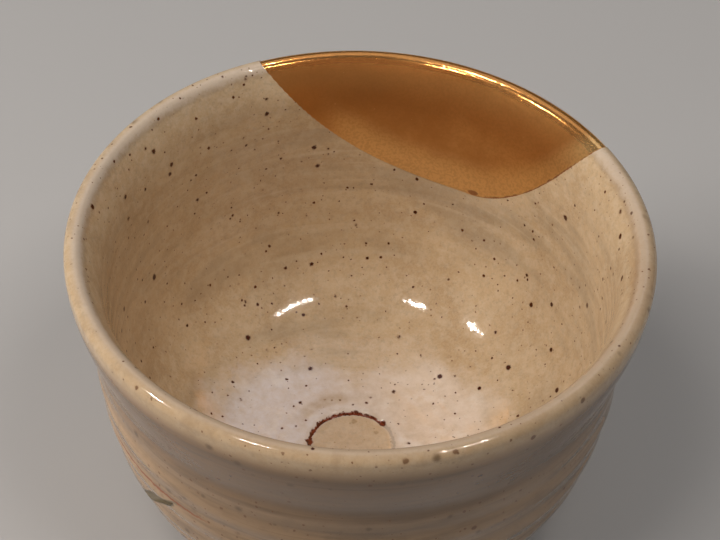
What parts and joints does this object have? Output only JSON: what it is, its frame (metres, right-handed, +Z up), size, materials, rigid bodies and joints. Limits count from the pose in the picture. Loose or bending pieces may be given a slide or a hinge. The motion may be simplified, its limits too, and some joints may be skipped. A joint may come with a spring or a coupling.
{
  "type": "tea bowl",
  "caption": "Wheel-thrown stoneware tea bowl with a rounded collar under the lip, a cream speckled glaze, a low foot ring and a rim loss made good in gold lacquer.",
  "frame": {"origin": "centre of the foot ring's underside", "axes": "+Z up along the bowl's axis, the pictured front towards -Y, the gold repair at the back right (+Y, +X)"},
  "size_m": [0.122, 0.122, 0.077],
  "materials": {
    "speckled_glaze": "glossy cream-buff glaze over iron-speckled stoneware",
    "gold_lacquer": "satin gold-dusted lacquer"
  },
  "bodies": {
    "root": {"bowl": "speckled_glaze", "gold_rim_repair": "gold_lacquer"}
  },
  "joints": []
}
